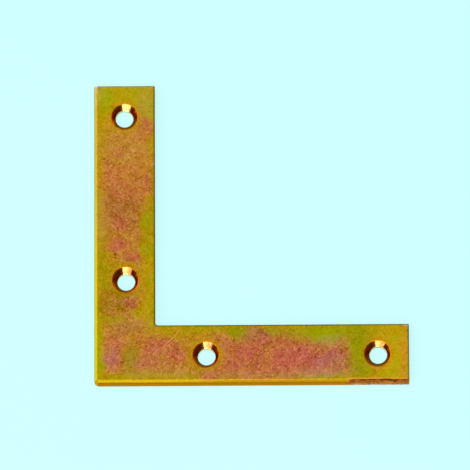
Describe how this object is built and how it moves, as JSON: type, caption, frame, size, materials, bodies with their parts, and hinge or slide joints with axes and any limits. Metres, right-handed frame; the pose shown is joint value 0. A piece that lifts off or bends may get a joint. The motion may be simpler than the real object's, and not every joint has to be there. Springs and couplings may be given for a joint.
{
  "type": "flat corner brace",
  "caption": "Flat L-shaped steel plate with countersunk screw holes, for joining two boards or frame rails at a right angle.",
  "frame": {"origin": "the point of the back face where the centre lines of the two arms cross", "axes": "+X along one arm, +Y along the other, +Z out of the countersunk front face"},
  "size_m": [0.1001, 0.1001, 0.003],
  "materials": {
    "plated_steel": "zinc plating with a yellow chromate film that shimmers from olive green over gold to rose, satin, slightly grainy"
  },
  "bodies": {
    "root": {"brace_plate": "plated_steel"}
  },
  "joints": []
}
